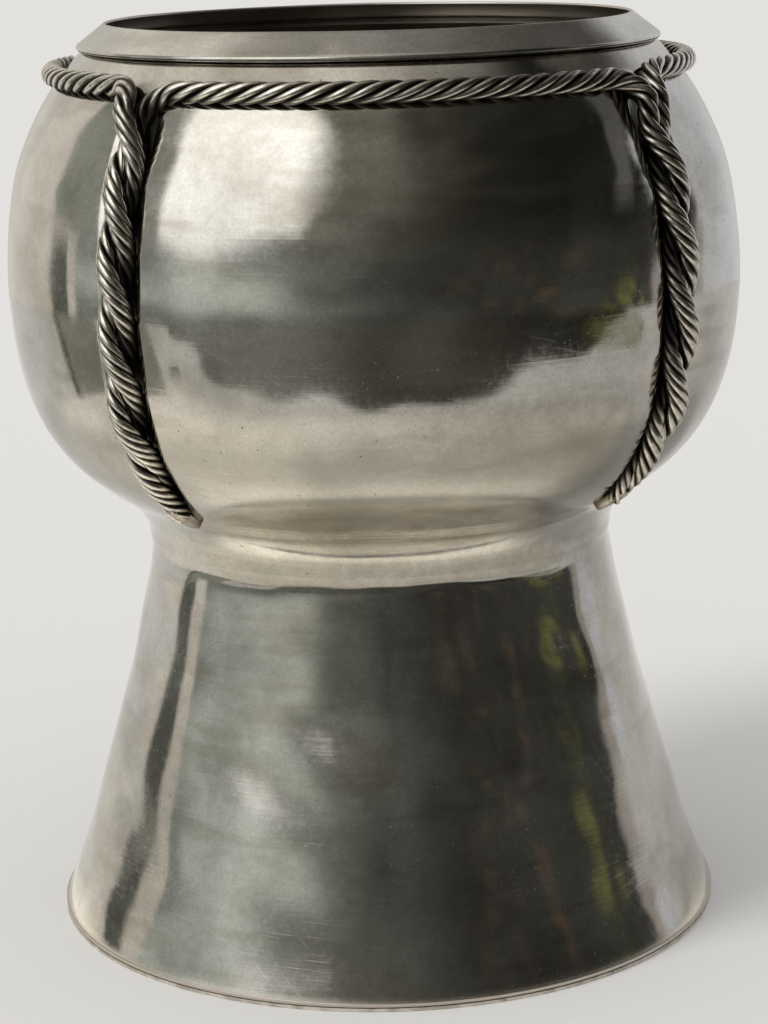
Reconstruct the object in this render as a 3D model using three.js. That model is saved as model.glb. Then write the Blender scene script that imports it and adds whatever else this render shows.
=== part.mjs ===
// Champagne bucket in pewter, shaped as a champagne cork with its wire cage.
// Millimetres, +Z up, origin at the centre of the underside. The front lobe faces -Y.
import * as THREE from 'three';

// ---- Driving dimensions ----
const WALL = 2;                 // pewter sheet of bowl and skirt
const GAP = 0.3;                // clearance left at every soldered seam
const FOOT_RADIUS = 90;
const FOOT_LAYER = 0.9;         // thickness of the base plate, and of the flange above it
const FLANGE_WIDTH = 8;         // inner width of the flange that rests on the base plate
const REST_RING_WIDTH = 9;      // flat ring of the base plate, round its raised middle
const MIDDLE_RAISE = 1.2;
const NECK_RADIUS = 62.3;
const NECK_HEIGHT = 104.5;      // seam between skirt and bowl
const SPIGOT_WALL = 1;          // thinned neck of the skirt, which plugs into the bowl
const SPIGOT_LENGTH = 6;
const SHOULDER_RADIUS = 74.6;   // where the bowl's shoulder goes under the collar
const SHOULDER_HEIGHT = 233.2;
const LAP_LENGTH = 3.2;         // of shoulder under collar
const COLLAR_ROLL_RADIUS = 0.75;
const COLLAR_LOW = { radius: 75.35, height: 234 };
const LIP_ROLL_RADIUS = 0.5;
const LIP = { radius: 68.7, height: 239.5 };
const FRONT_LOBE_ANGLE = 91.4;  // degrees between the two front grooves, and between the two back ones

const GROOVE_DEPTH = 5.5;
const GROOVE_FLOOR_HALF_WIDTH = 3;
const GROOVE_HALF_WIDTH = 10;
const GROOVE_LOW_END = 117;     // heights between which the grooves fade in and out
const GROOVE_LOW_FULL = 134;
const GROOVE_HIGH_FULL = 210;
const GROOVE_HIGH_END = 226;

const WIRES_PER_ROPE = 5;
const WIRE_RADIUS = 0.65;
const ROPE_RADIUS = 2.65;       // outer radius of one rope of five wires
const ROPE_LAY = 27;            // length in which a rope's wires turn once, across a lobe
const LEG_ROPE_LAY = 20;        // the same, down a groove
const PAIR_LAY = 36.6;          // length in which two ropes turn once round each other
const PAIR_RADIUS = 4.3;        // outer radius of the twisted pair
const ROPE_CLEARANCE = 0.35;    // rope to bowl
const BEND_RADIUS = 7;          // where a rope turns down into its groove
const RING_DISTANCE = 10.3;     // along the bowl's outline, from the collar down to the ring of ropes
const PAIR_START = 9.3;         // from the ring down to where the two ropes lie side by side
const LEG_LENGTH = 113;         // from the ring down to the ends of the wires
const LEG_STEP = 3.4;
const RING_STEP = 5.2;
const BEND_STEPS = 3;

const TIP_LENGTH = 4.6;
const TIP_WIDTH = 4.6;
const TIP_THICKNESS = 2.4;

// ---- Finishes ----
const pewter = new THREE.MeshStandardMaterial({ color: 0x9c9a94, metalness: 1, roughness: 0.28 });
const wornPewter = new THREE.MeshStandardMaterial({ color: 0xb0a79d, metalness: 1, roughness: 0.5 });
const darkWire = new THREE.MeshStandardMaterial({ color: 0x6b6963, metalness: 1, roughness: 0.35 });

const bucket = new THREE.Group();

function addPiece(name, geometry, material) {
  const mesh = new THREE.Mesh(geometry, material);
  mesh.name = name;
  bucket.add(mesh);
}

const point = (radius, height) => new THREE.Vector2(radius, height);
const radians = THREE.MathUtils.degToRad;
const degrees = THREE.MathUtils.radToDeg;
const { lerp, smoothstep } = THREE.MathUtils;

// Turns a closed outline of (radius, height) points about +Z. It runs up on the outside.
function turned(outline, columns) {
  return new THREE.LatheGeometry([...outline, outline[0]], columns).rotateX(Math.PI / 2);
}

// Points along a curve, moved towards its right by an offset, seen along its direction.
function offsetPoints(curve, steps, offset) {
  const points = [];
  for (let i = 0; i <= steps; i += 1) {
    const along = curve.getTangentAt(i / steps);
    const right = point(along.y, -along.x);
    points.push(curve.getPointAt(i / steps).addScaledVector(right, offset));
  }
  return points;
}

function arcPoints(centre, radius, fromDegrees, toDegrees, steps) {
  const points = [];
  for (let i = 0; i <= steps; i += 1) {
    const angle = radians(lerp(fromDegrees, toDegrees, i / steps));
    points.push(point(centre.radius + radius * Math.cos(angle), centre.height + radius * Math.sin(angle)));
  }
  return points;
}

// ---- Outlines of the outer faces of the two shells, both running upwards ----
const skirtOutline = new THREE.SplineCurve([
  point(FOOT_RADIUS - 1, 2 * FOOT_LAYER + GAP),
  point(84.5, 15.3),
  point(79.7, 30.5),
  point(73.7, 51),
  point(68, 71.3),
  point(63.6, 91),
  point(NECK_RADIUS, NECK_HEIGHT - GAP),
]);
const bowlOutline = new THREE.SplineCurve([
  point(NECK_RADIUS, NECK_HEIGHT),
  point(63.2, 109),
  point(67.5, 115),
  point(74.5, 120),
  point(82.5, 127),
  point(89.2, 136.5),
  point(94.2, 150),
  point(96.6, 168),
  point(96.3, 184),
  point(93.6, 201),
  point(88.3, 214.5),
  point(81.7, 225.3),
  point(SHOULDER_RADIUS, SHOULDER_HEIGHT),
]);

// ---- The compass of the bowl: degrees from -Y, turning towards +X ----
const halfLobe = FRONT_LOBE_ANGLE / 2;
const grooveAngles = [-halfLobe, halfLobe, 180 - halfLobe, 180 + halfLobe];
const grooveNames = ['front_left', 'front_right', 'back_right', 'back_left'];
const lobeNames = ['front', 'right', 'back', 'left'];
const lobeSpans = [FRONT_LOBE_ANGLE, 180 - FRONT_LOBE_ANGLE, FRONT_LOBE_ANGLE, 180 - FRONT_LOBE_ANGLE];

function outwards(compass) {
  return new THREE.Vector3(Math.sin(radians(compass)), -Math.cos(radians(compass)), 0);
}

function rightwards(compass) {
  return new THREE.Vector3(Math.cos(radians(compass)), Math.sin(radians(compass)), 0);
}

function onCircle(radius, compass, height) {
  return outwards(compass).multiplyScalar(radius).setZ(height);
}

// ---- Grooves ----
// 1 where the grooves have their full depth, 0 where they have run out.
function grooveStrength(height) {
  const low = smoothstep(height, GROOVE_LOW_END, GROOVE_LOW_FULL);
  return low * (1 - smoothstep(height, GROOVE_HIGH_FULL, GROOVE_HIGH_END));
}

// How far the wall is pressed in, at a distance sideways from the middle of a groove.
function grooveDepth(sideways, height) {
  const across = 1 - smoothstep(sideways, GROOVE_FLOOR_HALF_WIDTH, GROOVE_HALF_WIDTH);
  return GROOVE_DEPTH * across * grooveStrength(height);
}

// ---- Collar: a sloping ring with a rolled lower edge and a rounded lip ----
const COLLAR_COLUMNS = 48;
const slope = degrees(Math.atan2(LIP.height - COLLAR_LOW.height, LIP.radius - COLLAR_LOW.radius));
const collarOutline = [
  ...arcPoints(COLLAR_LOW, COLLAR_ROLL_RADIUS, slope + 90, slope + 270, 4),
  ...arcPoints(LIP, LIP_ROLL_RADIUS, slope - 90, slope + 90, 3),
];
addPiece('rim_collar', turned(collarOutline, COLLAR_COLUMNS), pewter);

// ---- Bowl: a lathe whose columns stand closer together near the grooves ----
const COLUMNS_PER_LOBE = 12;
const COLUMN_CROWDING = 1.75;

function bowlGeometry() {
  const underCollar = point(Math.cos(radians(slope)), Math.sin(radians(slope)));
  const outside = offsetPoints(bowlOutline, 15, 0);
  const inside = offsetPoints(bowlOutline, 13, -WALL).reverse();
  const lapOutside = point(SHOULDER_RADIUS, SHOULDER_HEIGHT).addScaledVector(underCollar, LAP_LENGTH);
  const lapInside = inside[0].clone().addScaledVector(underCollar, LAP_LENGTH);
  const outline = [...outside, lapOutside, lapInside, ...inside];
  const columns = 4 * COLUMNS_PER_LOBE;
  const geometry = new THREE.LatheGeometry([...outline, outline[0]], columns);
  const rows = outline.length + 1;
  const position = geometry.getAttribute('position');
  for (let column = 0; column <= columns; column += 1) {
    const lobe = Math.floor(column / COLUMNS_PER_LOBE) % 4;
    const part = (column % COLUMNS_PER_LOBE) / COLUMNS_PER_LOBE;
    const nearest = Math.min(part, 1 - part);
    const crowded = 0.5 * (2 * nearest) ** COLUMN_CROWDING;
    const share = part <= 0.5 ? crowded : 1 - crowded;
    const fromGroove = radians(lobeSpans[lobe] * crowded);
    for (let row = 0; row < rows; row += 1) {
      const { x: radius, y: height } = outline[row % outline.length];
      const pressed = radius - grooveDepth(radius * fromGroove, height);
      const placed = onCircle(pressed, grooveAngles[lobe] + lobeSpans[lobe] * share, height);
      position.setXYZ(column * rows + row, placed.x, placed.y, placed.z);
    }
  }
  return geometry;
}

addPiece('bowl', bowlGeometry(), pewter);

// ---- Skirt, with its foot flange and the spigot that enters the bowl's neck ----
const SHELL_COLUMNS = 48;
const flangeFloor = FOOT_LAYER + GAP;
const spigotRadius = NECK_RADIUS - WALL - GAP;
const spigotTop = NECK_HEIGHT + SPIGOT_LENGTH;
const skirtProfile = [
  point(FOOT_RADIUS, flangeFloor),
  point(FOOT_RADIUS, flangeFloor + FOOT_LAYER),
  ...offsetPoints(skirtOutline, 8, 0).slice(1),
  point(spigotRadius, NECK_HEIGHT - GAP),
  point(spigotRadius, spigotTop),
  point(spigotRadius - SPIGOT_WALL, spigotTop),
  ...offsetPoints(skirtOutline, 7, -WALL).reverse().slice(1),
  point(FOOT_RADIUS - FLANGE_WIDTH, flangeFloor),
];
addPiece('skirt', turned(skirtProfile, SHELL_COLUMNS), pewter);

// ---- Base plate: a flat rest ring round a slightly raised middle ----
const restInner = FOOT_RADIUS - REST_RING_WIDTH;
const baseProfile = [
  point(0, MIDDLE_RAISE),
  point(restInner - 3, MIDDLE_RAISE),
  point(restInner, 0),
  point(FOOT_RADIUS, 0),
  point(FOOT_RADIUS, FOOT_LAYER),
  point(restInner - 0.6, FOOT_LAYER),
  point(restInner - 3.6, MIDDLE_RAISE + FOOT_LAYER),
  point(0, MIDDLE_RAISE + FOOT_LAYER),
];
addPiece('base_plate', turned(baseProfile, SHELL_COLUMNS), wornPewter);

// ---- Ropes of the wire cage ----
const outlineLength = bowlOutline.getLength();
const pairOffset = PAIR_RADIUS / 2 + 0.1;      // from the pair's axis to each rope's axis
const ringRadius = ROPE_RADIUS - WIRE_RADIUS;  // from a round rope's axis to its wires' axes
const pairHalfThickness = PAIR_RADIUS / 2 - WIRE_RADIUS - 0.15;
const pairHalfWidth = Math.sqrt(2 * ringRadius ** 2 - pairHalfThickness ** 2);

// A place on the bowl: down the outline from the ring, beside a compass direction, and off the surface.
// It gives the directions out of, across and down the surface there too.
function bowlPlace(compass, sideways, down, lift) {
  const along = (outlineLength - RING_DISTANCE - down) / outlineLength;
  const { x: radius, y: height } = bowlOutline.getPointAt(along);
  const up = bowlOutline.getTangentAt(along);
  const turnedTo = compass + degrees(sideways / radius);
  const out = outwards(turnedTo).multiplyScalar(up.y).setZ(-up.x);
  const right = rightwards(turnedTo);
  const downwards = outwards(turnedTo).multiplyScalar(-up.x).setZ(-up.y);
  const place = onCircle(radius, turnedTo, height).addScaledVector(out, lift);
  return { place, out, right, downwards, height };
}

// The pair's axis keeps the pair just off the groove's floor.
function pairLift(down) {
  const { height } = bowlPlace(0, 0, down, 0);
  return PAIR_RADIUS + ROPE_CLEARANCE - grooveDepth(0, height);
}

// One cross-section of a rope: its axis, its two half-axes, and how far its wires have turned.
// heading is 90 going up a groove, 0 across a lobe and -90 down the next groove. A wire that turns from
// out towards side makes the left-handed lay of all these ropes.
function ropeSection(base, heading, pairTurn, flattened) {
  const side = base.downwards.clone().multiplyScalar(-Math.cos(radians(heading)))
    .addScaledVector(base.right, -Math.sin(radians(heading)));
  const turn = radians(pairTurn);
  const first = base.out.clone().multiplyScalar(Math.cos(turn)).addScaledVector(side, Math.sin(turn));
  const second = side.clone().multiplyScalar(Math.cos(turn)).addScaledVector(base.out, -Math.sin(turn));
  const centre = base.place.clone().addScaledVector(first, pairOffset);
  return {
    centre,
    thickness: first.multiplyScalar(lerp(ringRadius, pairHalfThickness, flattened)),
    width: second.multiplyScalar(lerp(ringRadius, pairHalfWidth, flattened)),
    roundness: lerp(0, (pairHalfWidth - pairHalfThickness) / (pairHalfWidth + pairHalfThickness) / 2, flattened),
    turn,
    lay: lerp(ROPE_LAY, LEG_ROPE_LAY, flattened),
  };
}

// The sections of the rope over one lobe: up its first groove, round a bend, across, and down again.
function ropeSections(lobe) {
  const first = grooveAngles[lobe];
  const last = first + lobeSpans[lobe];
  const bend = BEND_RADIUS + pairOffset;       // radius of the bend of the path that the pair's axis takes
  const ringDown = -pairOffset;
  const ringPlace = bowlPlace(0, 0, 0, 0).place;
  const bendAngle = degrees(bend / -ringPlace.y);
  const ringLift = ROPE_RADIUS + ROPE_CLEARANCE;
  const bendLift = pairLift(BEND_RADIUS);

  const leg = (compass, heading) => {
    const steps = Math.round((LEG_LENGTH - BEND_RADIUS) / LEG_STEP);
    return Array.from({ length: steps + 1 }, (_, i) => {
      const down = lerp(LEG_LENGTH, BEND_RADIUS, i / steps);
      const pairTurn = 360 * Math.max(0, down - PAIR_START) / PAIR_LAY;
      const base = bowlPlace(compass, 0, down, pairLift(down));
      return ropeSection(base, heading, -90 - Math.sign(heading) * pairTurn, 1);
    });
  };
  const corner = (compass, heading) => Array.from({ length: BEND_STEPS - 1 }, (_, i) => {
    const part = (i + 1) / BEND_STEPS;
    const angle = radians(90 * part);
    const sideways = Math.sign(heading) * bend * (1 - Math.cos(angle));
    const down = BEND_RADIUS - bend * Math.sin(angle);
    const base = bowlPlace(compass, sideways, down, lerp(bendLift, ringLift, part));
    return ropeSection(base, heading * (1 - part), -90, 1 - part);
  });
  const across = [];
  const steps = Math.round(radians(last - first - 2 * bendAngle) * -ringPlace.y / RING_STEP);
  for (let i = 0; i <= steps; i += 1) {
    const compass = lerp(first + bendAngle, last - bendAngle, i / steps);
    across.push(ropeSection(bowlPlace(compass, 0, ringDown, ringLift), 0, -90, 0));
  }
  return [
    ...leg(first, 90), ...corner(first, 90), ...across,
    ...corner(last, -90).reverse(), ...leg(last, -90).reverse(),
  ];
}

// A curve through given points, whose even steps land on the points themselves.
class StationCurve extends THREE.CatmullRomCurve3 {
  getUtoTmapping(u) {
    return u;
  }
}

// The path of one wire: it turns round the rope's axis, evenly spaced from the other wires.
function wirePath(sections, share) {
  const points = [];
  let wound = 0;
  sections.forEach((section, i) => {
    if (i > 0) wound += 2 * Math.PI * section.centre.distanceTo(sections[i - 1].centre) / section.lay;
    const angle = wound + 2 * Math.PI * share - section.turn;
    const even = angle - section.roundness * Math.sin(2 * angle);
    points.push(section.centre.clone()
      .addScaledVector(section.thickness, Math.cos(even))
      .addScaledVector(section.width, Math.sin(even)));
  });
  return new StationCurve(points);
}

const wireSection = new THREE.Shape(
  [90, 210, 330].map((a) => point(Math.cos(radians(a)), Math.sin(radians(a))).multiplyScalar(WIRE_RADIUS)),
);

lobeNames.forEach((lobeName, lobe) => {
  const sections = ropeSections(lobe);
  for (let wire = 0; wire < WIRES_PER_ROPE; wire += 1) {
    const path = wirePath(sections, wire / WIRES_PER_ROPE);
    const geometry = new THREE.ExtrudeGeometry(wireSection, { steps: sections.length - 1, extrudePath: path });
    addPiece(`wire_${lobeName}_${wire + 1}`, geometry, darkWire);
  }
});

// ---- Rope tips: small flat tabs in which the wire ends of each groove are soldered together ----
const tipOutline = new THREE.Shape([
  point(-TIP_WIDTH / 2, 0),
  point(-TIP_WIDTH / 2, -TIP_LENGTH + 1),
  point(-TIP_WIDTH / 2 + 1, -TIP_LENGTH),
  point(TIP_WIDTH / 2 - 1, -TIP_LENGTH),
  point(TIP_WIDTH / 2, -TIP_LENGTH + 1),
  point(TIP_WIDTH / 2, 0),
]);
const TIP_LIFT = 0.8;

grooveNames.forEach((grooveName, groove) => {
  const geometry = new THREE.ExtrudeGeometry(tipOutline, { depth: TIP_THICKNESS, bevelEnabled: false });
  const seat = bowlPlace(grooveAngles[groove], 0, LEG_LENGTH + 1, TIP_LIFT);
  const up = seat.downwards.clone().negate();
  geometry.applyMatrix4(new THREE.Matrix4().makeBasis(seat.right, up, seat.out).setPosition(seat.place));
  addPiece(`rope_tip_${grooveName}`, geometry, wornPewter);
});

export default bucket;
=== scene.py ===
import math

import bpy
import numpy as np
from mathutils import Matrix, Vector


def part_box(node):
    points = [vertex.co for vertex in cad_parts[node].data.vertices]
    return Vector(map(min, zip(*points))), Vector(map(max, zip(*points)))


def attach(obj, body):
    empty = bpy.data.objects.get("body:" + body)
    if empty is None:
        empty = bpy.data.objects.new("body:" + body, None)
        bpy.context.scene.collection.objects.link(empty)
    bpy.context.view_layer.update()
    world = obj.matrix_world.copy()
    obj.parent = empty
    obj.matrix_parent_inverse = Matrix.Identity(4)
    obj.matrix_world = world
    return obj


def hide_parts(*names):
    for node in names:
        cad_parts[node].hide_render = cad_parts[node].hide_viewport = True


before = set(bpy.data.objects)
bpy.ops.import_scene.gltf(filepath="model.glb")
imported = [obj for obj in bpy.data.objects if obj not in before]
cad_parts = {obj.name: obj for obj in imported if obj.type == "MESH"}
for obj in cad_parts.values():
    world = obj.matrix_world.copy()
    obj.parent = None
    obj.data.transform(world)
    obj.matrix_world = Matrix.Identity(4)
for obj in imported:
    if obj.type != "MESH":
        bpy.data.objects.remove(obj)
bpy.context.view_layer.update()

# The looks of a pewter champagne bucket shaped as a champagne cork. Metres, in the frame of the CAD part:
# +Z up, the front lobe faces -Y.

# ---------------------------------------------------------------- sizes, from the frame
FOOT_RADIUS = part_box("base_plate")[1].x
MM = FOOT_RADIUS / 90                      # outlines below are given in millimetres of the CAD part
NECK_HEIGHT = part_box("bowl")[0].z
SKIRT_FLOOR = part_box("skirt")[0].z
SKIRT_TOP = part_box("skirt")[1].z
PLATE_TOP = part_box("base_plate")[1].z
LIP_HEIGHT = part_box("rim_collar")[1].z

WALL = 2 * MM
NECK_RADIUS = 62.3 * MM
FLANGE = 0.9 * MM
FRONT_LOBE_ANGLE = 91.4                    # degrees between the two front grooves, and the two back ones
HALF_LOBE = FRONT_LOBE_ANGLE / 2
GROOVE_ANGLES = [-HALF_LOBE, HALF_LOBE, 180 - HALF_LOBE, 180 + HALF_LOBE]
LOBE_SPANS = [FRONT_LOBE_ANGLE, 180 - FRONT_LOBE_ANGLE] * 2
LOBE_NAMES = ["front", "right", "back", "left"]
GROOVE_NAMES = ["front_left", "front_right", "back_right", "back_left"]

GROOVE_DEPTH = 4.5 * MM
GROOVE_FLOOR_HALF_WIDTH = 1.7 * MM
GROOVE_HALF_WIDTH = 6.9 * MM
SHOULDER_DEPTH = 1.2 * MM                  # the lobes round down gently towards their grooves
SHOULDER_HALF_WIDTH = 19 * MM
GROOVE_LOW = (117 * MM, 134 * MM)          # heights between which a groove fades in, and out
GROOVE_HIGH = (210 * MM, 226 * MM)
GROOVE_PATINA = (3.5 * MM, 7.2 * MM)       # beside a groove's middle, where its dark patina fades out
COLLAR_LAP = 3.2 * MM                      # the bowl runs on this far under the collar
DULL_HEIGHT = 134 * MM                     # the bowl is darker and rougher in a band round this height
DULL_BAND = (5 * MM, 14 * MM)
REST_RING = 9 * MM                         # the underside stands on a ring this wide

WIRES_PER_ROPE = 5
WIRE_RADIUS = 1.03 * MM
ROPE_RADIUS = 2.8 * MM
ROPE_LAY = 27 * MM
LEG_ROPE_LAYS = (21 * MM, 17 * MM)         # at the top of a groove, and at its foot
PAIR_LAYS = [36.8 * MM, 38.6 * MM, 37.4 * MM, 37.8 * MM]          # one for each groove
PAIR_STARTS = [-0.5 * MM, 13.2 * MM, 3 * MM, 8 * MM]
PAIR_RADIUS = 5.0 * MM
ROPE_CLEARANCE = 0.08 * MM
BEND_RADIUS = 7 * MM
RING_DISTANCE = 10.3 * MM
LEG_LENGTH = 113.5 * MM
TAPER_LENGTH = 16 * MM
TAPER_TO = 0.74
GATHER_LENGTH = 34 * MM                    # the ropes of a pair close up on each other over this length
GATHER_TO = 0.45
STATION = 0.9 * MM                         # between two cross-sections of a rope
LOOSENESS = 0.10                           # in radians, how far a wire wanders round its rope
ANY_PHASE = 6.28                           # in radians, the range in which a random wave starts


def smoothstep(x, low, high):
    t = np.clip((np.asarray(x, float) - low) / (high - low), 0, 1)
    return t * t * (3 - 2 * t)


def below(value, low, high):
    """1 up to low, falling off to 0 at high."""
    return 1 - smoothstep(value, low, high)


def lerp(a, b, t):
    return a + (b - a) * t


# ---------------------------------------------------------------- outlines
def spline(points, samples=600):
    """A Catmull-Rom curve through the points, as samples evenly spaced along its length."""
    p = np.array(points, float) * MM
    ends = np.vstack([p[:1], p, p[-1:]])
    curve = []
    for i in range(len(p) - 1):
        a, b, c, d = ends[i:i + 4]
        t = np.linspace(0, 1, 80, endpoint=False)[:, None]
        v, w = (c - a) / 2, (d - b) / 2
        curve.append((2 * b - 2 * c + v + w) * t ** 3 + (3 * c - 3 * b - 2 * v - w) * t ** 2 + v * t + b)
    curve = np.vstack(curve + [p[-1:]])
    run = np.concatenate([[0], np.cumsum(np.linalg.norm(np.diff(curve, axis=0), axis=1))])
    even = np.linspace(0, run[-1], samples)
    return np.stack([np.interp(even, run, curve[:, 0]), np.interp(even, run, curve[:, 1])], 1)


def tangents(curve):
    t = np.gradient(curve, axis=0)
    return t / np.linalg.norm(t, axis=1)[:, None]


def offset(curve, distance):
    """The curve moved to its right, seen along its direction."""
    t = tangents(curve)
    return curve + distance * np.stack([t[:, 1], -t[:, 0]], 1)


def resample(curve, count):
    index = np.linspace(0, len(curve) - 1, count)
    whole = np.arange(len(curve))
    return np.stack([np.interp(index, whole, curve[:, 0]), np.interp(index, whole, curve[:, 1])], 1)


def arc(centre, radius, low, high, count):
    a = np.radians(np.linspace(low, high, count))
    return np.stack([centre[0] + radius * np.cos(a), centre[1] + radius * np.sin(a)], 1)


BOWL_OUTLINE = spline([
    (62.3, 104.5), (63.2, 109), (67.5, 115), (74.5, 120), (82.5, 127), (89.2, 136.5), (94.2, 150),
    (96.6, 168), (96.3, 184), (93.6, 201), (88.3, 214.5), (81.7, 225.3), (74.6, 233.2),
])
SKIRT_OUTLINE = spline([
    (89.6, 2.1), (84.5, 15.3), (79.7, 30.5), (73.7, 51), (68, 71.3), (63.75, 90.5),
    (61.95, 100.5), (62.3, 104.48),
])


# ---------------------------------------------------------------- the compass: degrees from -Y towards +X
def outwards(compass):
    a = np.radians(compass)
    return np.stack([np.sin(a), -np.cos(a), np.zeros_like(a)], -1)


def rightwards(compass):
    a = np.radians(compass)
    return np.stack([np.cos(a), np.sin(a), np.zeros_like(a)], -1)


def groove_strength(height):
    return smoothstep(height, *GROOVE_LOW) * below(height, *GROOVE_HIGH)


def groove_depth(sideways, height):
    groove = below(sideways, GROOVE_FLOOR_HALF_WIDTH, GROOVE_HALF_WIDTH)
    shoulder = below(sideways, GROOVE_FLOOR_HALF_WIDTH, SHOULDER_HALF_WIDTH)
    return (GROOVE_DEPTH * groove + SHOULDER_DEPTH * shoulder) * groove_strength(height)


# ---------------------------------------------------------------- meshes
def new_piece(name, vertices, faces, sharp=40):
    mesh = bpy.data.meshes.new(name)
    mesh.from_pydata(vertices.tolist(), [], faces)
    mesh.validate()
    mesh.shade_smooth()
    mesh.set_sharp_from_angle(angle=math.radians(sharp))
    piece = bpy.data.objects.new(name, mesh)
    bpy.context.collection.objects.link(piece)
    return piece


def set_attribute(piece, name, values):
    layer = piece.data.attributes.new(name, "FLOAT", "POINT")
    layer.data.foreach_set("value", np.asarray(values, np.float32).ravel())


def ring_faces(columns, rows, close_rows=True):
    """Quads between neighbouring columns of a closed lathe, facing out where rows run up on the outside."""
    faces = []
    last = rows if close_rows else rows - 1
    for i in range(columns):
        j = (i + 1) % columns
        for k in range(last):
            m = (k + 1) % rows
            faces.append((i * rows + k, j * rows + k, j * rows + m, i * rows + m))
    return faces


def smooth_noise(seed, around, along, strength=1.0, waves=14, reach=9):
    """A smooth random field on a shell: a sum of waves, whole in number round the axis."""
    rng = np.random.RandomState(seed)
    field = np.zeros(np.broadcast(around, along).shape)
    for _ in range(waves):
        turns = rng.randint(1, reach + 1)
        rise = rng.uniform(-1, 1) * reach * 9
        size = rng.uniform(0.5, 1)
        start = rng.uniform(0, ANY_PHASE)
        field += size * np.sin(np.radians(around) * turns + along * rise + start)
    return strength * field / math.sqrt(waves)


def crowded_columns(per_lobe, crowding):
    """Compass directions of the columns, and how far each is from its nearest groove, in degrees."""
    compass, from_groove = [], []
    for lobe in range(4):
        part = np.arange(per_lobe) / per_lobe
        crowd = 0.5 * (2 * np.minimum(part, 1 - part)) ** crowding
        share = np.where(part <= 0.5, crowd, 1 - crowd)
        compass.append(GROOVE_ANGLES[lobe] + LOBE_SPANS[lobe] * share)
        from_groove.append(LOBE_SPANS[lobe] * crowd)
    return np.concatenate(compass), np.concatenate(from_groove)


def lathe_points(compass, radius, height):
    """Vertices of shape columns x rows from compass (columns) and radius and height (columns x rows)."""
    upwards = np.array([0, 0, 1.0])
    return (outwards(compass)[:, None, :] * radius[..., None] + height[..., None] * upwards).reshape(-1, 3)


def all_round(rows, compass):
    """Values given for each row of an outline, repeated in every column."""
    return np.tile(rows, (len(compass), 1))


def rows_from(start, outline):
    """1 for an outline's rows from start on, and 0 for those before it."""
    return np.where(np.arange(len(outline)) < start, 0.0, 1.0)


def new_lathe(name, compass, radius, height):
    """A closed outline swept round the axis."""
    return new_piece(name, lathe_points(compass, radius, height), ring_faces(*radius.shape))


def even_columns(count):
    return np.arange(count) * 360 / count


# ---------------------------------------------------------------- bowl
BOWL_COLUMNS_PER_LOBE = 112
OUTLINE_STEPS = len(BOWL_OUTLINE) - 1
OUTLINE_LENGTH = float(np.linalg.norm(np.diff(BOWL_OUTLINE, axis=0), axis=1).sum())
COLLAR_LOW = np.array([75.35, 234]) * MM
COLLAR_LIP = np.array([68.7, 239.5]) * MM
COLLAR_SLOPE = math.degrees(math.atan2(*(COLLAR_LIP - COLLAR_LOW)[::-1]))


def on_outline(values, down):
    """A value that runs along the bowl's outline, this far down from the rope ring."""
    index = (OUTLINE_LENGTH - RING_DISTANCE - down) / OUTLINE_LENGTH * OUTLINE_STEPS
    return np.interp(index, np.arange(OUTLINE_STEPS + 1), values)


def outline_height(down):
    return on_outline(BOWL_OUTLINE[:, 1], down)


def bowl_dents(compass, height):
    broad = smooth_noise(11, compass, height, 0.16 * MM, reach=9)
    fine = smooth_noise(12, compass, height, 0.04 * MM, reach=26)
    return broad + fine


def make_bowl():
    compass, from_groove = crowded_columns(BOWL_COLUMNS_PER_LOBE, 1.4)
    under = np.array([math.cos(math.radians(COLLAR_SLOPE)), math.sin(math.radians(COLLAR_SLOPE))])
    outside = resample(BOWL_OUTLINE, 150)
    inside = resample(offset(BOWL_OUTLINE, -WALL), 64)[::-1]
    lap = np.array([outside[-1] + COLLAR_LAP * under, inside[0] + COLLAR_LAP * under])
    outline = np.vstack([outside, lap, inside])
    radius, height = (all_round(outline[:, i], compass) for i in (0, 1))
    sideways = radius * np.radians(from_groove)[:, None]
    pressed = groove_depth(sideways, height)
    fade = smoothstep(height, NECK_HEIGHT, NECK_HEIGHT + 12 * MM) * below(height, 228 * MM, 233 * MM)
    radius = radius - pressed + fade * bowl_dents(compass[:, None], height)
    bowl = new_lathe("lobed_bowl", compass, radius, height)
    inner = rows_from(len(outside) + 1, outline)
    outer = 1 - all_round(inner, compass)
    in_groove = below(sideways, *GROOVE_PATINA) * smoothstep(groove_strength(height), 0.02, 0.4)
    # Painted shade: a thin dark line on the bowl just under the rope ring. The grooves' darkness is the
    # metal's patina.
    under_ring = below(np.abs(height - outline_height(0)), 0.6 * MM, 1.8 * MM)
    set_attribute(bowl, "dull", outer * below(np.abs(height - DULL_HEIGHT), *DULL_BAND))
    set_attribute(bowl, "patina_and_shade", outer * np.maximum(in_groove, 0.3 * under_ring))
    set_attribute(bowl, "inside", all_round(inner, compass))
    return bowl


# ---------------------------------------------------------------- skirt
SKIRT_COLUMNS = 420


def skirt_dents(compass, height):
    broad = smooth_noise(21, compass, height * 0.3, 0.34 * MM, reach=12)
    middle = smooth_noise(23, compass, height * 0.8, 0.10 * MM, reach=20)
    wavy = smooth_noise(24, compass, height * 2.4, 0.17 * MM, reach=15)
    fine = smooth_noise(22, compass, height, 0.012 * MM, reach=40)
    return broad + middle + wavy + fine


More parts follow.
